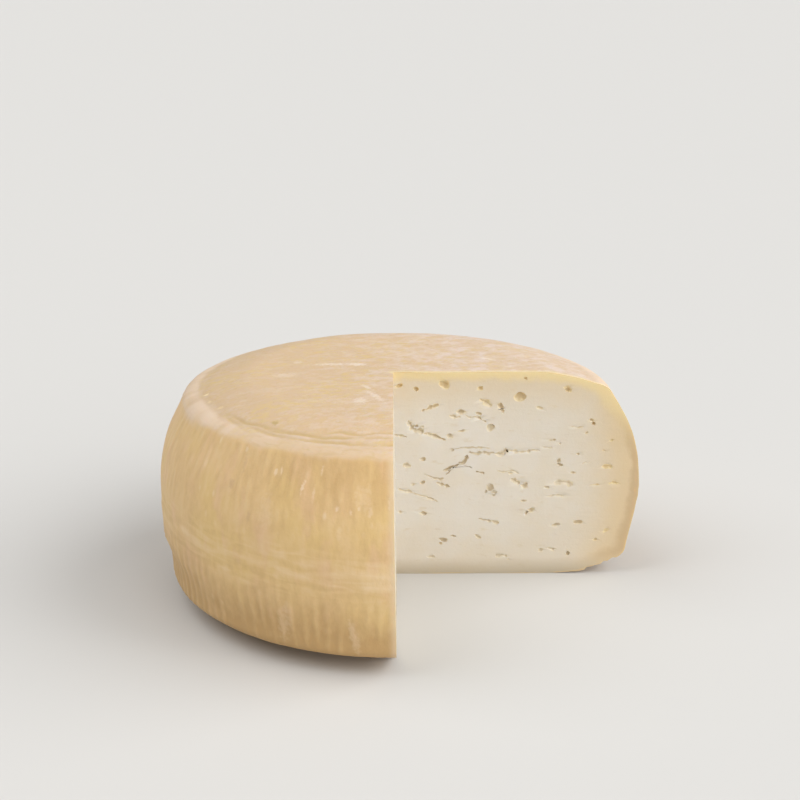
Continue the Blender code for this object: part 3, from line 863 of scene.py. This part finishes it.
class Finish:
    """A material with one Principled shader, and the kinds of node that feed it.

    Numbers that are the same everywhere sit on the shader's own sockets. Wherever a method takes a value or
    a colour, that may be a number, a colour of three parts, or another node's output.
    """

    def __init__(self, name, roughness, specular, subsurface=0.0, radius=(1.0, 1.0, 1.0), scale=0.01):
        self.material = bpy.data.materials.new(name)
        self.material.use_nodes = True
        self.tree = self.material.node_tree
        self.shader = self.tree.nodes["Principled BSDF"]
        self.feed(self.shader, "Roughness", roughness)
        self.feed(self.shader, "Specular IOR Level", specular)
        self.feed(self.shader, "Subsurface Weight", subsurface)
        self.feed(self.shader, "Subsurface Radius", radius)
        self.feed(self.shader, "Subsurface Scale", scale)

    def feed(self, made, key, value):
        """Links a socket to an output, or sets it to a value."""
        socket = made.inputs[key]
        if isinstance(value, bpy.types.NodeSocket):
            self.tree.links.new(value, socket)
        elif socket.type == "RGBA":
            socket.default_value = (*value, 1.0)
        else:
            socket.default_value = value

    def node(self, kind, settings=None, **inputs):
        """A shader node. Inputs are given by name, with _ for a space, or by place, such as i0."""
        made = self.tree.nodes.new(kind)
        for name, value in (settings or {}).items():
            setattr(made, name, value)
        for name, value in inputs.items():
            by_place = name[0] == "i" and name[1:].isdigit()
            self.feed(made, int(name[1:]) if by_place else name.replace("_", " "), value)
        return made

    def object_place(self):
        """Object coordinates, in metres."""
        return self.node("ShaderNodeTexCoord").outputs["Object"]

    def attribute(self, name, output="Fac"):
        """What the mesh keeps under a name for each of its points."""
        return self.node("ShaderNodeAttribute", {"attribute_name": name}).outputs[output]

    def part(self, vector, axis):
        """X, Y or Z of a vector."""
        return self.node("ShaderNodeSeparateXYZ", None, Vector=vector).outputs[axis]

    def flat_length(self, vector):
        """The length of a vector without its Z."""
        flat = self.node("ShaderNodeVectorMath", {"operation": "MULTIPLY"}, i0=vector, i1=(1.0, 1.0, 0.0))
        return self.node("ShaderNodeVectorMath", {"operation": "LENGTH"}, i0=flat.outputs[0]).outputs["Value"]

    def joined(self, operation, first, *others):
        """Two or more values joined one after another by an operation such as ADD."""
        for other in others:
            first = self.node("ShaderNodeMath", {"operation": operation}, i0=first, i1=other).outputs[0]
        return first

    def add(self, *values):
        """The sum of some values."""
        return self.joined("ADD", *values)

    def times(self, *values):
        """The product of some values."""
        return self.joined("MULTIPLY", *values)

    def highest(self, *values):
        """The highest of some values."""
        return self.joined("MAXIMUM", *values)

    def clamped(self, value):
        """A value kept between 0 and 1."""
        return self.node("ShaderNodeClamp", None, Value=value).outputs[0]

    def ranged(self, value, low, high, to_low=0.0, to_high=1.0):
        """A value moved from one range to another with smooth ends."""
        made = self.node(
            "ShaderNodeMapRange", {"interpolation_type": "SMOOTHSTEP"},
            Value=value, From_Min=low, From_Max=high, To_Min=to_low, To_Max=to_high,
        )
        return made.outputs["Result"]

    def mixed(self, share, first, second):
        """Two colours mixed by a share."""
        return self.node("ShaderNodeMix", {"data_type": "RGBA"}, i0=share, i6=first, i7=second).outputs[2]

    def noise(self, vector, scale, detail=3.0, roughness=0.55, distortion=0.0):
        """Smooth noise from about 0.3 to 0.7, by a vector and a scale for each metre."""
        made = self.node(
            "ShaderNodeTexNoise", {"noise_dimensions": "3D"},
            Vector=vector, Scale=scale, Detail=detail, Roughness=roughness, Distortion=distortion,
        )
        return made.outputs["Fac"]

    def stretched(self, vector, stretch, turn=0.0, shift=(0.0, 0.0, 0.0)):
        """A vector seen from a frame that is moved, turned about Z and stretched, as its pattern then is."""
        made = self.node(
            "ShaderNodeMapping", {"vector_type": "TEXTURE"},
            Vector=vector, Location=shift, Rotation=(0.0, 0.0, turn), Scale=stretch,
        )
        return made.outputs["Vector"]

    def specks(self, vector, scale, size, share):
        """Small round specks: near the middle of some cells of a Voronoi pattern."""
        cells = self.node(
            "ShaderNodeTexVoronoi", {"feature": "F1", "voronoi_dimensions": "3D"},
            Vector=vector, Scale=scale, Randomness=1.0,
        )
        chance = self.node("ShaderNodeSeparateColor", None, Color=cells.outputs["Color"]).outputs[0]
        close = self.ranged(cells.outputs["Distance"], size, size * 0.3)
        return self.times(close, self.ranged(chance, 1.0 - share, 1.0))

    def marks(self, vector, places, ragged):
        """The strongest of some soft-edged oval marks, whose rims wander by a ragged value."""
        ovals = []
        for across, along, half_length, half_width, turn, strength in places:
            stretch = (half_length * MM, half_width * MM, 1.0)
            local = self.stretched(vector, stretch, np.radians(turn), (across * MM, along * MM, 0.0))
            distance = self.add(self.flat_length(local), ragged)
            ovals.append(self.ranged(distance, 1.25, 0.25, 0.0, strength))
        return self.highest(*ovals)

    def finished(self, colour, *bumps):
        """The material, with its colour and its bumps laid over each other: height, strength, distance."""
        self.feed(self.shader, "Base Color", colour)
        normal = None
        for height, strength, distance in bumps:
            bump = self.node("ShaderNodeBump", None, Height=height, Strength=strength, Distance=distance)
            if normal is not None:
                self.feed(bump, "Normal", normal)
            normal = bump.outputs["Normal"]
        if normal is not None:
            self.feed(self.shader, "Normal", normal)
        return self.material


def side_colour(rind, colours, place, unroll, streak, ragged):
    """The rind's side: tan with golden and pink patches, seams and specks, paler rib crests and darker
    grooves in painted light and shade, and a foot and parts of the front and left darkened by painted shade.
    """
    height = rind.part(place, "Z")
    round_rim = rind.part(unroll, "X")
    patches = rind.noise(place, 30.0, 2.0)
    side = rind.mixed(rind.ranged(patches, 0.4, 0.64), colours.side, colours.side_gold)
    side = rind.mixed(rind.ranged(round_rim, 0.445, 0.468, 0.0, 0.7), side, colours.side_gold)
    pinks = rind.noise(rind.stretched(unroll, (0.7, 1.6, 1.0), shift=(3.0, 1.0, 2.0)), 70.0)
    pinks = rind.ranged(pinks, 0.50, 0.70, 0.0, 0.8)
    pinks = rind.highest(pinks, rind.ranged(round_rim, 0.345, 0.318, 0.0, 0.6))
    side = rind.mixed(pinks, side, colours.side_pink)

    cloud = rind.noise(rind.stretched(unroll, (1.0, 1.4, 1.0), shift=(9.0, 4.0, 0.0)), 110.0, 4.0)
    wrinkle = rind.noise(rind.stretched(unroll, (5.0, 1.0, 1.0), -0.04), 330.0, 2.0, 0.5, 0.6)
    waist = rind.times(rind.ranged(height, 0.028, 0.036), rind.ranged(height, 0.056, 0.047))
    # Painted light: the side beside the front cut is made paler at mid height
    painted_light_beside_cut = rind.times(
        rind.ranged(height, 0.012, 0.026),
        rind.ranged(height, 0.052, 0.040),
        rind.ranged(round_rim, 0.448, 0.466, 0.0, 0.4),
    )
    # Painted shade on the upper front, the low front and the low left of the side
    painted_shades = [
        rind.times(rind.ranged(height, low, high), rind.ranged(round_rim, start, end, 0.0, amount))
        for low, high, start, end, amount in SIDE_PAINTED_SHADE
    ]
    # The side's own streaks and clouds, together with painted light on the rib crests and painted shade in
    # the grooves, on the foot and in the listed places
    shade = rind.add(
        rind.ranged(streak, 0.3, 0.7, -0.12, 0.12),
        rind.ranged(cloud, 0.3, 0.7, -0.16, 0.16),
        # Painted light on the rib crests and painted shade in the rib grooves
        rind.ranged(rind.attribute("rib"), 0.2, 1.2, -0.12, 0.28),
        rind.ranged(rind.attribute("seam"), 0.0, 1.0, 0.0, 0.5),
        rind.times(rind.ranged(wrinkle, 0.35, 0.7, -0.12, 0.3), waist),
        # Painted shade: the side darkens towards the floor
        rind.ranged(height, 0.042, 0.008, 0.0, -0.74),
        painted_light_beside_cut,
        *painted_shades,
    )
    side = rind.mixed(rind.clamped(shade), side, colours.side_pale_and_painted_light)
    side = rind.mixed(rind.clamped(rind.times(shade, -1.0)), side, colours.side_dark_and_painted_shade)
    speck = rind.specks(rind.stretched(unroll, (1.0, 1.6, 1.0)), 330.0, 0.42, 0.2)
    side = rind.mixed(rind.times(speck, rind.ranged(height, 0.05, 0.066, 0.15, 0.6)), side, colours.speck)
    side = rind.mixed(rind.marks(unroll, SIDE_PALE, ragged), side, colours.side_scuff)
    return rind.mixed(rind.marks(unroll, SIDE_DARK, ragged), side, colours.side_spot)


def top_colour(rind, colours, place, ragged):
    """The rind's top: cream with golden mottles, a paler bloom to the right and back, grain and marks."""
    across = rind.part(place, "X")
    mottle = rind.noise(rind.stretched(place, (1.8, 1.0, 1.0), 0.3), 430.0, 5.0, 0.62, 0.3)
    warmth = rind.noise(rind.stretched(place, (1.5, 1.0, 1.0), 0.32, (1.0, 7.0, 0.0)), 34.0, 2.0)
    gold = rind.times(rind.ranged(mottle, 0.42, 0.62), rind.ranged(warmth, 0.4, 0.6, 0.25, 0.85))
    cream = rind.mixed(gold, colours.top, colours.top_gold)
    bloom = rind.noise(rind.stretched(place, (1.5, 1.0, 1.0), 0.3), 240.0, 6.0, 0.7)
    pale = rind.add(
        rind.ranged(across, -0.04, 0.05, 0.0, 0.35),
        rind.ranged(rind.part(place, "Y"), 0.05, 0.085, 0.0, 0.3),
        rind.times(rind.ranged(bloom, 0.38, 0.68), rind.ranged(across, -0.05, 0.03, 0.45, 0.95)),
        -0.16,
    )
    cream = rind.mixed(rind.clamped(pale), cream, colours.top_pale)
    grain = rind.noise(rind.stretched(place, (1.2, 1.0, 1.0), 0.3), 520.0, 3.0, 0.6)
    cream = rind.mixed(rind.ranged(grain, 0.52, 0.72, 0.0, 0.45), cream, colours.crease)
    cream = rind.mixed(rind.marks(place, TOP_SCUFFS, ragged), cream, colours.top_scuff)
    cream = rind.mixed(rind.marks(place, TOP_BUMPS, ragged), cream, colours.top_bump)
    return rind.mixed(rind.marks(place, TOP_DOTS, ragged), cream, colours.top_dot)


def rind_material(colours):
    """Tan side and cream top, with the pale band and the creases between them and warmer rims at the cuts."""
    rind = Finish("goat_cheese_rind", 0.55, 0.3, 0.12, (1.0, 0.55, 0.25), 0.004)
    place = rind.object_place()
    unroll = rind.attribute("unrolled", "Vector")
    round_rim = rind.part(unroll, "X")
    top, band = rind.attribute("top"), rind.attribute("band")
    streak = rind.noise(rind.stretched(unroll, (1.0, 2.4, 1.0)), 480.0)
    ragged = rind.ranged(rind.noise(place, 700.0, 2.0), 0.3, 0.7, -0.35, 0.35)
    side = side_colour(rind, colours, place, unroll, streak, ragged)
    colour = rind.mixed(top, side, top_colour(rind, colours, place, ragged))

    # Painted light and shade: the band is paler at the left and darker at the front, evening out how the
    # lamps fall
    pale = rind.mixed(rind.ranged(round_rim, 0.365, 0.430), colours.shoulder, colours.shoulder_front_shaded)
    colour = rind.mixed(rind.times(band, 0.85), colour, pale)
    rings = rind.noise(rind.stretched(unroll, (7.0, 1.0, 1.0)), 1000.0, 2.0, 0.5, 0.4)
    rings = rind.times(rind.ranged(rings, 0.48, 0.66, 0.0, 0.5), band, rind.ranged(round_rim, 0.380, 0.425))
    colour = rind.mixed(rings, colour, colours.crease)
    colour = rind.mixed(rind.times(rind.attribute("ridge"), 0.45), colour, colours.top_pale)
    colour = rind.mixed(rind.attribute("crease"), colour, colours.crease)
    second_rim = rind.times(rind.attribute("second_rim"), rind.ranged(top, 1.0, 0.0, 0.0, 0.65))
    colour = rind.mixed(second_rim, colour, colours.rim)
    colour = rind.mixed(rind.times(rind.attribute("front_rim"), top, 0.7), colour, colours.under_rind)
    fine = rind.noise(place, 900.0, 4.0, 0.6)
    return rind.finished(colour, (fine, 0.3, 0.0003), (streak, 0.25, 0.0005))


def paste_material(colours):
    """Ivory paste that warms towards the rind, with a faint curd grain, fine marks and knife drag, and
    painted shade along the base and over the leaning cut.
    """
    paste = Finish("goat_cheese_paste", 0.5, 0.3, 0.25, (1.0, 0.8, 0.5), 0.004)
    place = paste.object_place()
    height = paste.part(place, "Z")
    under, outer = paste.attribute("under"), paste.attribute("outer")
    depth = paste.add(under, paste.ranged(paste.noise(place, 110.0), 0.3, 0.7, -0.9, 0.9))
    warmth = paste.add(
        paste.ranged(paste.noise(place, 60.0, 4.0), 0.36, 0.68, 0.0, 0.5),
        paste.ranged(paste.flat_length(place), 0.02, 0.080, 0.0, 0.6),
        paste.ranged(height, 0.035, 0.004, 0.0, 0.5),
    )
    colour = paste.mixed(paste.clamped(warmth), colours.paste, colours.paste_warm)
    flecks = paste.noise(paste.stretched(place, (2.6, 2.6, 1.0)), 420.0, 3.0, 0.6)
    colour = paste.mixed(paste.ranged(flecks, 0.58, 0.72, 0.0, 0.4), colour, colours.eye)
    near_rind = paste.highest(outer, paste.ranged(height, 0.060, 0.084, 0.0, 0.6))
    near_rind = paste.times(paste.ranged(depth, 32.0, 2.0, 0.0, 0.9), near_rind)
    colour = paste.mixed(near_rind, colour, colours.outer_paste)

    side_width = paste.ranged(height, 0.042, 0.010, 3.4, 7.0)
    width = paste.ranged(height, 0.050, 0.076, side_width, paste.ranged(outer, 0.0, 1.0, 5.2, 8.0))
    share = paste.ranged(depth, width, paste.times(width, 0.3), 0.0, 0.95)
    edge = paste.mixed(paste.ranged(height, 0.052, 0.082), colours.side_edge, colours.under_rind)
    colour = paste.mixed(paste.times(share, paste.ranged(height, 0.003, 0.012)), colour, edge)
    # Painted shade in part: the paste darkens and browns towards the base
    colour = paste.mixed(paste.ranged(height, 0.0085, -0.0005, 0.0, 0.78), colour, colours.base_edge_and_shade)
    colour = paste.mixed(paste.ranged(under, 1.0, 0.2, 0.0, 0.6), colour, colours.side)
    # Painted shade over the leaning cut, stronger towards the rind
    second = paste.times(paste.attribute("second_cut_painted_shade"), paste.ranged(outer, -0.2, 0.6, 0.4, 0.8))
    colour = paste.mixed(second, colour, colours.second_cut_painted_shade)
    grain = paste.noise(place, 700.0, 5.0, 0.65)
    drag = paste.noise(paste.stretched(place, (8.0, 8.0, 1.0)), 500.0, 2.0)
    return paste.finished(colour, (grain, 0.3, 0.0003), (drag, 0.2, 0.0004))


def eye_material(colours):
    """The moist wall of an eye or slit: paste-coloured at its lip, browner and darker inside, in part as
    painted shade, warmer near the rind.
    """
    eye = Finish("goat_cheese_eye", 0.45, 0.35, 0.35, (1.0, 0.8, 0.5), 0.003)
    place = eye.object_place()
    near_top = eye.ranged(eye.part(place, "Z"), 0.068, 0.085)
    near_rind = eye.highest(eye.attribute("outer"), near_top)
    curd = eye.noise(place, 600.0)
    depth = eye.add(eye.attribute("deep"), eye.ranged(curd, 0.3, 0.7, -0.25, 0.25))
    lip = eye.mixed(eye.ranged(near_rind, 0.0, 1.0, 0.35, 0.9), colours.paste, colours.under_rind)
    wall = eye.mixed(near_rind, colours.eye, colours.eye_warm)
    # Painted shade in part: the wall darkens from its lip towards the bottom of the hollow
    return eye.finished(eye.mixed(eye.ranged(depth, -0.1, 0.75), lip, wall), (curd, 0.4, 0.0003))


def new_object(mesh):
    """An object of the mesh's name, linked to the scene."""
    made = bpy.data.objects.new(mesh.name, mesh)
    bpy.context.scene.collection.objects.link(made)
    return made


def cut_by(target, mesh):
    """Takes the mesh's volume away from the target and applies the result."""
    cutter = new_object(mesh)
    for material in target.data.materials:
        mesh.materials.append(material)
    modifier = target.modifiers.new("minus " + mesh.name, "BOOLEAN")
    modifier.operation = "DIFFERENCE"
    modifier.solver = "MANIFOLD"
    modifier.object = cutter
    graph = bpy.context.evaluated_depsgraph_get()
    finished = bpy.data.meshes.new_from_object(target.evaluated_get(graph))
    target.modifiers.clear()
    old = target.data
    target.data = finished
    bpy.data.meshes.remove(old)
    bpy.data.objects.remove(cutter)
    bpy.data.meshes.remove(mesh)


def drop_slivers(mesh):
    """Dissolves faces without area, which cutting can leave."""
    bm = bmesh.new()
    bm.from_mesh(mesh)
    bmesh.ops.dissolve_degenerate(bm, dist=SLIVER_LENGTH, edges=bm.edges)
    bm.to_mesh(mesh)
    bm.free()


class OBJECT_OT_goat_cheese_wheel(Operator):
    """Models the wheel with its missing quarter: rind, cut faces and their materials"""

    bl_idname = "object.goat_cheese_wheel"
    bl_label = "Goat cheese wheel"
    bl_options = {"REGISTER", "UNDO"}

    def execute(self, context):
        sizes = context.scene.goat_cheese_sizes
        colours = context.scene.goat_cheese_colours
        patches = Patches()
        rows = add_rind(patches, sizes)
        add_cut_faces(patches, rows, sizes)
        wheel = new_object(patches.mesh("goat_cheese"))
        for material in (rind_material(colours), paste_material(colours), eye_material(colours)):
            wheel.data.materials.append(material)
        return {"FINISHED"}


class OBJECT_OT_goat_cheese_openings(Operator):
    """Opens the eyes and slits in the cut faces and finishes the wheel's mesh"""

    bl_idname = "object.goat_cheese_openings"
    bl_label = "Goat cheese openings"
    bl_options = {"REGISTER", "UNDO"}

    def execute(self, context):
        sizes = context.scene.goat_cheese_sizes
        wheel = bpy.data.objects["goat_cheese"]
        for mesh in opening_cutters():
            cut_by(wheel, mesh)
        wheel.data.name = "goat_cheese"
        drop_slivers(wheel.data)
        wheel.data.shade_smooth()
        wheel.data.set_sharp_from_angle(angle=SHARP_ANGLE)
        store_looks(wheel.data, sizes)
        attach(wheel, BODY)
        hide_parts(NODE)
        return {"FINISHED"}


def add_light(name, azimuth, elevation, strength):
    """A very soft sun, by the direction that it shines from: 0 is the camera's side and 90 the right."""
    turn, rise = np.radians((azimuth, elevation))
    data = bpy.data.lights.new(name, "SUN")
    data.energy = strength
    data.angle = LIGHT_ANGLE
    light = bpy.data.objects.new(name, data)
    light.rotation_mode = "QUATERNION"
    towards = Vector((np.sin(turn) * np.cos(rise), -np.cos(turn) * np.cos(rise), np.sin(rise)))
    light.rotation_quaternion = towards.to_track_quat("Z", "Y")
    bpy.context.scene.collection.objects.link(light)


class OBJECT_OT_goat_cheese_stage(Operator):
    """Adds the pale floor, the soft studio lights and the camera"""

    bl_idname = "object.goat_cheese_stage"
    bl_label = "Goat cheese stage"
    bl_options = {"REGISTER", "UNDO"}

    def execute(self, context):
        scene = context.scene
        half = scene.goat_cheese_sizes.floor_size / 2
        corners = [(-half, -half, 0.0), (half, -half, 0.0), (half, half, 0.0), (-half, half, 0.0)]
        mesh = bpy.data.meshes.new("floor")
        mesh.from_pydata(corners, [], [(0, 1, 2, 3)])
        mesh.materials.append(Finish("floor", 0.8, 0.2).finished(scene.goat_cheese_colours.floor))
        new_object(mesh)

        world = bpy.data.worlds.new("studio")
        world.use_nodes = True
        sky = world.node_tree.nodes["Background"]
        sky.inputs["Color"].default_value = (1.0, 1.0, 1.0, 1.0)
        sky.inputs["Strength"].default_value = SKY_STRENGTH
        scene.world = world
        for name, azimuth, elevation, strength in LIGHTS:
            add_light(name, azimuth, elevation, strength)

        data = bpy.data.cameras.new("camera")
        data.lens = CAMERA_LENS
        data.shift_y = CAMERA_SHIFT_Y
        data.clip_start = CAMERA_NEAR
        camera = bpy.data.objects.new("camera", data)
        camera.location = CAMERA_PLACE
        camera.rotation_mode = "QUATERNION"
        camera.rotation_quaternion = (Vector(CAMERA_AIM) - Vector(CAMERA_PLACE)).to_track_quat("-Z", "Y")
        scene.collection.objects.link(camera)
        scene.camera = camera
        scene.view_settings.view_transform = "Standard"
        return {"FINISHED"}


class VIEW3D_PT_goat_cheese(Panel):
    """Lists the steps that make the cheese"""

    bl_label = "Goat Cheese"
    bl_space_type = "VIEW_3D"
    bl_region_type = "UI"
    bl_category = "Goat Cheese"

    def draw(self, context):
        for group in (context.scene.goat_cheese_sizes, context.scene.goat_cheese_colours):
            for name in group.__annotations__:
                self.layout.prop(group, name)
        for step in STEPS:
            self.layout.operator(step.bl_idname)


STEPS = (OBJECT_OT_goat_cheese_wheel, OBJECT_OT_goat_cheese_openings, OBJECT_OT_goat_cheese_stage)
CLASSES = (CheeseSizes, CheeseColours, *STEPS, VIEW3D_PT_goat_cheese)


def register():
    for cls in CLASSES:
        bpy.utils.register_class(cls)
    bpy.types.Scene.goat_cheese_sizes = PointerProperty(type=CheeseSizes)
    bpy.types.Scene.goat_cheese_colours = PointerProperty(type=CheeseColours)


def unregister():
    del bpy.types.Scene.goat_cheese_colours
    del bpy.types.Scene.goat_cheese_sizes
    for cls in reversed(CLASSES):
        bpy.utils.unregister_class(cls)


def main():
    register()
    bpy.ops.object.goat_cheese_wheel()
    bpy.ops.object.goat_cheese_openings()
    bpy.ops.object.goat_cheese_stage()


if __name__ == "__main__":
    main()
